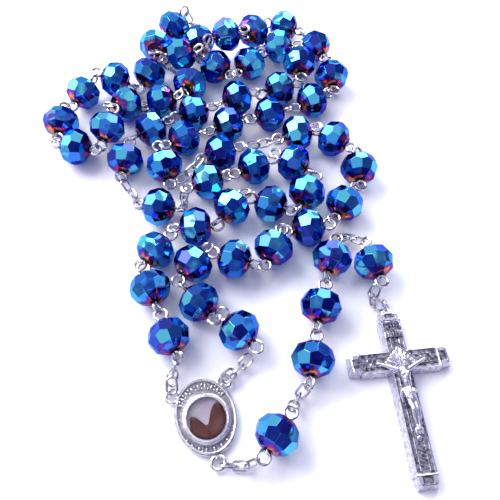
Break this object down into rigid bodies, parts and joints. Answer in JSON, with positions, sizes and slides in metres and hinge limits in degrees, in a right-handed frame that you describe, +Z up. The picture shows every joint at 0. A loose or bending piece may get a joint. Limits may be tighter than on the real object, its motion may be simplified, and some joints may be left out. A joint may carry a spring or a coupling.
{
  "type": "rosary",
  "caption": "Prayer rosary of faceted glass beads on wire eye pins, with chain between the decades, an oval centre medal and a crucifix pendant, laid down in a loose heap.",
  "frame": {"origin": "under the middle of the laid-down heap, on the surface that it lies on", "axes": "+Z up from the surface, +Y from the crucifix foot towards the far end of the loop, +X to the pendant side"},
  "size_m": [0.082, 0.1104, 0.0115],
  "materials": {
    "bead_glass": "faceted glass with a blue-cyan metallic vapour coating, gold and magenta round the holes",
    "wire_silver": "bright silver-plated wire",
    "medal_silver": "cast zinc alloy, silver plated and lightly antiqued",
    "crucifix_silver": "cast zinc alloy, silver plated, dark antiquing in the recesses",
    "medal_window": "clear domed resin",
    "medal_soil": "fine reddish-brown soil under the window"
  },
  "bodies": {
    "root": {"loop_wire": "wire_silver", "centre_medal": "medal_silver"},
    "pendant_our_father_1": {"pendant_our_father_1": "bead_glass"},
    "pendant_hail_marys": {"pendant_hail_marys": "bead_glass"},
    "pendant_our_father_2": {"pendant_our_father_2": "bead_glass"},
    "crucifix": {"crucifix": "crucifix_silver"},
    "decade_1_bead_01": {"decade_1_bead_01": "bead_glass"},
    "decade_1_bead_02": {"decade_1_bead_02": "bead_glass"},
    "decade_1_bead_03": {"decade_1_bead_03": "bead_glass"},
    "decade_1_bead_04": {"decade_1_bead_04": "bead_glass"},
    "decade_1_bead_05": {"decade_1_bead_05": "bead_glass"},
    "decade_1_bead_06": {"decade_1_bead_06": "bead_glass"},
    "decade_1_bead_07": {"decade_1_bead_07": "bead_glass"},
    "decade_1_bead_08": {"decade_1_bead_08": "bead_glass"},
    "decade_1_bead_09": {"decade_1_bead_09": "bead_glass"},
    "decade_1_bead_10": {"decade_1_bead_10": "bead_glass"},
    "our_father_bead_1": {"our_father_bead_1": "bead_glass"},
    "decade_2_bead_01": {"decade_2_bead_01": "bead_glass"},
    "decade_2_bead_02": {"decade_2_bead_02": "bead_glass"},
    "decade_2_bead_03": {"decade_2_bead_03": "bead_glass"},
    "decade_2_bead_04": {"decade_2_bead_04": "bead_glass"},
    "decade_2_bead_05": {"decade_2_bead_05": "bead_glass"},
    "decade_2_bead_06": {"decade_2_bead_06": "bead_glass"},
    "decade_2_bead_07": {"decade_2_bead_07": "bead_glass"},
    "decade_2_bead_08": {"decade_2_bead_08": "bead_glass"},
    "decade_2_bead_09": {"decade_2_bead_09": "bead_glass"},
    "decade_2_bead_10": {"decade_2_bead_10": "bead_glass"},
    "our_father_bead_2": {"our_father_bead_2": "bead_glass"},
    "decade_3_bead_01": {"decade_3_bead_01": "bead_glass"},
    "decade_3_bead_02": {"decade_3_bead_02": "bead_glass"},
    "decade_3_bead_03": {"decade_3_bead_03": "bead_glass"},
    "decade_3_bead_04": {"decade_3_bead_04": "bead_glass"},
    "decade_3_bead_05": {"decade_3_bead_05": "bead_glass"},
    "decade_3_bead_06": {"decade_3_bead_06": "bead_glass"},
    "decade_3_bead_07": {"decade_3_bead_07": "bead_glass"},
    "decade_3_bead_08": {"decade_3_bead_08": "bead_glass"},
    "decade_3_bead_09": {"decade_3_bead_09": "bead_glass"},
    "decade_3_bead_10": {"decade_3_bead_10": "bead_glass"},
    "our_father_bead_3": {"our_father_bead_3": "bead_glass"},
    "decade_4_bead_01": {"decade_4_bead_01": "bead_glass"},
    "decade_4_bead_02": {"decade_4_bead_02": "bead_glass"},
    "decade_4_bead_03": {"decade_4_bead_03": "bead_glass"},
    "decade_4_bead_04": {"decade_4_bead_04": "bead_glass"},
    "decade_4_bead_05": {"decade_4_bead_05": "bead_glass"},
    "decade_4_bead_06": {"decade_4_bead_06": "bead_glass"},
    "decade_4_bead_07": {"decade_4_bead_07": "bead_glass"},
    "decade_4_bead_08": {"decade_4_bead_08": "bead_glass"},
    "decade_4_bead_09": {"decade_4_bead_09": "bead_glass"},
    "decade_4_bead_10": {"decade_4_bead_10": "bead_glass"},
    "our_father_bead_4": {"our_father_bead_4": "bead_glass"},
    "decade_5_bead_01": {"decade_5_bead_01": "bead_glass"},
    "decade_5_bead_02": {"decade_5_bead_02": "bead_glass"},
    "decade_5_bead_03": {"decade_5_bead_03": "bead_glass"},
    "decade_5_bead_04": {"decade_5_bead_04": "bead_glass"},
    "decade_5_bead_05": {"decade_5_bead_05": "bead_glass"},
    "decade_5_bead_06": {"decade_5_bead_06": "bead_glass"},
    "decade_5_bead_07": {"decade_5_bead_07": "bead_glass"},
    "decade_5_bead_08": {"decade_5_bead_08": "bead_glass"},
    "decade_5_bead_09": {"decade_5_bead_09": "bead_glass"},
    "decade_5_bead_10": {"decade_5_bead_10": "bead_glass"}
  },
  "joints": [
    {"name": "pendant_swing", "type": "hinge", "parent": "root", "child": "pendant_our_father_1", "pos_m": [-0.00056, -0.05094, 0.00081], "axis": [0, 0, 1], "range_deg": [-40, 0]},
    {"name": "hail_marys_swing", "type": "hinge", "parent": "pendant_our_father_1", "child": "pendant_hail_marys", "pos_m": [0.01279, -0.04044, 0.00081], "axis": [0, 0, 1], "range_deg": [-25, 0]},
    {"name": "our_father_swing", "type": "hinge", "parent": "pendant_hail_marys", "child": "pendant_our_father_2", "pos_m": [0.02497, -0.00719, 0.00081], "axis": [0, 0, 1], "range_deg": [0, 50]},
    {"name": "crucifix_lift", "type": "hinge", "parent": "pendant_our_father_2", "child": "crucifix", "pos_m": [0.0305, -0.02271, 0.00161], "axis": [0.994, 0.1097, 0], "range_deg": [-90, 0]},
    {"name": "decade_1_bead_01_spin", "type": "hinge", "parent": "root", "child": "decade_1_bead_01", "pos_m": [-0.00989, -0.02954, 0.00391], "axis": [-0.404, 0.9148, 0.0038], "continuous": true},
    {"name": "decade_1_bead_02_spin", "type": "hinge", "parent": "root", "child": "decade_1_bead_02", "pos_m": [-0.014, -0.01988, 0.00391], "axis": [-0.3735, 0.9276, -0.0042], "continuous": true},
    {"name": "decade_1_bead_03_spin", "type": "hinge", "parent": "root", "child": "decade_1_bead_03", "pos_m": [-0.0137, -0.01175, 0.00391], "axis": [0.6213, 0.7835, -0.0025], "continuous": true},
    {"name": "decade_1_bead_04_spin", "type": "hinge", "parent": "root", "child": "decade_1_bead_04", "pos_m": [-0.00609, -0.00638, 0.00391], "axis": [0.9978, 0.0663, 0.0011], "continuous": true},
    {"name": "decade_1_bead_05_spin", "type": "hinge", "parent": "root", "child": "decade_1_bead_05", "pos_m": [0.00097, -0.00165, 0.00391], "axis": [0.6232, 0.7821, 0.0007], "continuous": true},
    {"name": "decade_1_bead_06_spin", "type": "hinge", "parent": "root", "child": "decade_1_bead_06", "pos_m": [0.00899, -0.00102, 0.00391], "axis": [0.9333, -0.3591, 0], "continuous": true},
    {"name": "decade_1_bead_07_spin", "type": "hinge", "parent": "root", "child": "decade_1_bead_07", "pos_m": [0.01646, 0.002, 0.00391], "axis": [0.4774, 0.8787, -0.0002], "continuous": true},
    {"name": "decade_1_bead_08_spin", "type": "hinge", "parent": "root", "child": "decade_1_bead_08", "pos_m": [0.01399, 0.00967, 0.00391], "axis": [-0.8516, 0.5242, 0.0002], "continuous": true},
    {"name": "decade_1_bead_09_spin", "type": "hinge", "parent": "root", "child": "decade_1_bead_09", "pos_m": [0.00556, 0.00857, 0.00391], "axis": [-0.9076, -0.4199, 0], "continuous": true},
    {"name": "decade_1_bead_10_spin", "type": "hinge", "parent": "root", "child": "decade_1_bead_10", "pos_m": [-0.00414, 0.00457, 0.00391], "axis": [-0.9343, -0.3564, 0], "continuous": true},
    {"name": "our_father_bead_1_spin", "type": "hinge", "parent": "root", "child": "our_father_bead_1", "pos_m": [-0.01379, -0.0017, 0.00391], "axis": [-0.9802, 0.1855, -0.0695], "continuous": true},
    {"name": "decade_2_bead_01_spin", "type": "hinge", "parent": "root", "child": "decade_2_bead_01", "pos_m": [-0.0218, 0.01039, 0.00391], "axis": [0.1078, 0.9909, 0.0811], "continuous": true},
    {"name": "decade_2_bead_02_spin", "type": "hinge", "parent": "root", "child": "decade_2_bead_02", "pos_m": [-0.01705, 0.01884, 0.00396], "axis": [0.8152, 0.5786, -0.027], "continuous": true},
    {"name": "decade_2_bead_03_spin", "type": "hinge", "parent": "root", "child": "decade_2_bead_03", "pos_m": [-0.00782, 0.0237, 0.00391], "axis": [0.9253, 0.3792, 0.0103], "continuous": true},
    {"name": "decade_2_bead_04_spin", "type": "hinge", "parent": "root", "child": "decade_2_bead_04", "pos_m": [0.00177, 0.02796, 0.00391], "axis": [0.905, 0.4253, -0.0066], "continuous": true},
    {"name": "decade_2_bead_05_spin", "type": "hinge", "parent": "root", "child": "decade_2_bead_05", "pos_m": [0.01152, 0.03074, 0.00392], "axis": [0.9481, 0.3007, 0.1033], "continuous": true},
    {"name": "decade_2_bead_06_spin", "type": "hinge", "parent": "root", "child": "decade_2_bead_06", "pos_m": [0.01622, 0.03691, 0.00607], "axis": [-0.0521, 0.9971, 0.0551], "continuous": true},
    {"name": "decade_2_bead_07_spin", "type": "hinge", "parent": "root", "child": "decade_2_bead_07", "pos_m": [0.01162, 0.04342, 0.00496], "axis": [-0.9533, 0.0991, -0.2855], "continuous": true},
    {"name": "decade_2_bead_08_spin", "type": "hinge", "parent": "root", "child": "decade_2_bead_08", "pos_m": [0.00463, 0.03884, 0.00391], "axis": [-0.6524, -0.7557, 0.0582], "continuous": true},
    {"name": "decade_2_bead_09_spin", "type": "hinge", "parent": "root", "child": "decade_2_bead_09", "pos_m": [-0.00334, 0.0377, 0.00391], "axis": [-0.7906, 0.6115, -0.0332], "continuous": true},
    {"name": "decade_2_bead_10_spin", "type": "hinge", "parent": "root", "child": "decade_2_bead_10", "pos_m": [-0.00766, 0.04643, 0.00391], "axis": [-0.1401, 0.9899, 0.0221], "continuous": true},
    {"name": "our_father_bead_2_spin", "type": "hinge", "parent": "root", "child": "our_father_bead_2", "pos_m": [-0.01391, 0.05151, 0.00391], "axis": [-0.5655, -0.7014, -0.4339], "continuous": true},
    {"name": "decade_3_bead_01_spin", "type": "hinge", "parent": "root", "child": "decade_3_bead_01", "pos_m": [-0.01779, 0.04412, 0.00447], "axis": [0.0323, -0.9079, 0.418], "continuous": true},
    {"name": "decade_3_bead_02_spin", "type": "hinge", "parent": "root", "child": "decade_3_bead_02", "pos_m": [-0.0187, 0.0356, 0.00403], "axis": [-0.4973, -0.7885, -0.3619], "continuous": true},
    {"name": "decade_3_bead_03_spin", "type": "hinge", "parent": "root", "child": "decade_3_bead_03", "pos_m": [-0.02655, 0.03381, 0.00391], "axis": [-0.9448, 0.2328, 0.2305], "continuous": true},
    {"name": "decade_3_bead_04_spin", "type": "hinge", "parent": "root", "child": "decade_3_bead_04", "pos_m": [-0.03332, 0.02945, 0.00396], "axis": [-0.4772, -0.8727, -0.1033], "continuous": true},
    {"name": "decade_3_bead_05_spin", "type": "hinge", "parent": "root", "child": "decade_3_bead_05", "pos_m": [-0.03707, 0.02072, 0.00394], "axis": [-0.026, -0.9996, 0.0105], "continuous": true},
    {"name": "decade_3_bead_06_spin", "type": "hinge", "parent": "root", "child": "decade_3_bead_06", "pos_m": [-0.03288, 0.01385, 0.00391], "axis": [0.9842, -0.1758, -0.0213], "continuous": true},
    {"name": "decade_3_bead_07_spin", "type": "hinge", "parent": "root", "child": "decade_3_bead_07", "pos_m": [-0.02636, 0.01847, 0.00492], "axis": [0.2403, 0.9366, 0.2548], "continuous": true},
    {"name": "decade_3_bead_08_spin", "type": "hinge", "parent": "root", "child": "decade_3_bead_08", "pos_m": [-0.02324, 0.02598, 0.00391], "axis": [0.7315, 0.4847, -0.4796], "continuous": true},
    {"name": "decade_3_bead_09_spin", "type": "hinge", "parent": "root", "child": "decade_3_bead_09", "pos_m": [-0.01523, 0.02685, 0.00391], "axis": [0.9026, 0.0481, 0.4278], "continuous": true},
    {"name": "decade_3_bead_10_spin", "type": "hinge", "parent": "root", "child": "decade_3_bead_10", "pos_m": [-0.0092, 0.03217, 0.00391], "axis": [0.179, 0.9196, -0.3497], "continuous": true},
    {"name": "our_father_bead_3_spin", "type": "hinge", "parent": "root", "child": "our_father_bead_3", "pos_m": [-0.01133, 0.03961, 0.00611], "axis": [0.9302, 0.014, 0.3667], "continuous": true},
    {"name": "decade_4_bead_01_spin", "type": "hinge", "parent": "root", "child": "decade_4_bead_01", "pos_m": [-0.00082, 0.04439, 0.00762], "axis": [0.9444, 0.3174, 0.086], "continuous": true},
    {"name": "decade_4_bead_02_spin", "type": "hinge", "parent": "root", "child": "decade_4_bead_02", "pos_m": [0.00547, 0.04867, 0.00497], "axis": [0.4507, 0.8247, -0.3418], "continuous": true},
    {"name": "decade_4_bead_03_spin", "type": "hinge", "parent": "root", "child": "decade_4_bead_03", "pos_m": [0.01301, 0.05128, 0.00391], "axis": [0.9176, -0.395, 0.0453], "continuous": true},
    {"name": "decade_4_bead_04_spin", "type": "hinge", "parent": "root", "child": "decade_4_bead_04", "pos_m": [0.02025, 0.04436, 0.00397], "axis": [0.5214, -0.8532, -0.0162], "continuous": true},
    {"name": "decade_4_bead_05_spin", "type": "hinge", "parent": "root", "child": "decade_4_bead_05", "pos_m": [0.02367, 0.03475, 0.00391], "axis": [0.0579, -0.9983, 0.0037], "continuous": true},
    {"name": "decade_4_bead_06_spin", "type": "hinge", "parent": "root", "child": "decade_4_bead_06", "pos_m": [0.01874, 0.02718, 0.00393], "axis": [-0.8769, -0.4807, 0], "continuous": true},
    {"name": "decade_4_bead_07_spin", "type": "hinge", "parent": "root", "child": "decade_4_bead_07", "pos_m": [0.00913, 0.02305, 0.00391], "axis": [-0.9442, -0.3292, -0.0046], "continuous": true},
    {"name": "decade_4_bead_08_spin", "type": "hinge", "parent": "root", "child": "decade_4_bead_08", "pos_m": [-0.00009, 0.02012, 0.00394], "axis": [-0.9341, -0.3514, -0.0637], "continuous": true},
    {"name": "decade_4_bead_09_spin", "type": "hinge", "parent": "root", "child": "decade_4_bead_09", "pos_m": [-0.00958, 0.01585, 0.00429], "axis": [-0.8598, -0.492, 0.1365], "continuous": true},
    {"name": "decade_4_bead_10_spin", "type": "hinge", "parent": "root", "child": "decade_4_bead_10", "pos_m": [-0.01344, 0.0088, 0.00391], "axis": [0.3067, -0.9088, -0.2829], "continuous": true},
    {"name": "our_father_bead_4_spin", "type": "hinge", "parent": "root", "child": "our_father_bead_4", "pos_m": [-0.00161, 0.01222, 0.00391], "axis": [0.91, 0.4139, -0.0238], "continuous": true},
    {"name": "decade_5_bead_01_spin", "type": "hinge", "parent": "root", "child": "decade_5_bead_01", "pos_m": [0.01509, 0.01764, 0.00391], "axis": [0.9532, 0.2663, 0.1429], "continuous": true},
    {"name": "decade_5_bead_02_spin", "type": "hinge", "parent": "root", "child": "decade_5_bead_02", "pos_m": [0.02297, 0.01601, 0.00391], "axis": [0.7967, -0.5994, 0.0774], "continuous": true},
    {"name": "decade_5_bead_03_spin", "type": "hinge", "parent": "root", "child": "decade_5_bead_03", "pos_m": [0.02777, 0.00807, 0.00392], "axis": [-0.0232, -0.9997, -0.0032], "continuous": true},
    {"name": "decade_5_bead_04_spin", "type": "hinge", "parent": "root", "child": "decade_5_bead_04", "pos_m": [0.02403, -0.00072, 0.00391], "axis": [-0.5335, -0.8458, -0.0001], "continuous": true},
    {"name": "decade_5_bead_05_spin", "type": "hinge", "parent": "root", "child": "decade_5_bead_05", "pos_m": [0.01632, -0.00663, 0.00392], "axis": [-0.9812, -0.1929, 0.0017], "continuous": true},
    {"name": "decade_5_bead_06_spin", "type": "hinge", "parent": "root", "child": "decade_5_bead_06", "pos_m": [0.00935, -0.01111, 0.00391], "axis": [-0.3936, -0.9193, 0.001], "continuous": true},
    {"name": "decade_5_bead_07_spin", "type": "hinge", "parent": "root", "child": "decade_5_bead_07", "pos_m": [0.00174, -0.01373, 0.00391], "axis": [-0.9503, 0.3113, 0], "continuous": true},
    {"name": "decade_5_bead_08_spin", "type": "hinge", "parent": "root", "child": "decade_5_bead_08", "pos_m": [-0.00624, -0.01477, 0.00391], "axis": [-0.583, -0.8125, -0.0017], "continuous": true},
    {"name": "decade_5_bead_09_spin", "type": "hinge", "parent": "root", "child": "decade_5_bead_09", "pos_m": [-0.00474, -0.02289, 0.00391], "axis": [0.6652, -0.7466, 0.0075], "continuous": true},
    {"name": "decade_5_bead_10_spin", "type": "hinge", "parent": "root", "child": "decade_5_bead_10", "pos_m": [0.00277, -0.02846, 0.00391], "axis": [0.7096, -0.6993, -0.086], "continuous": true}
  ]
}
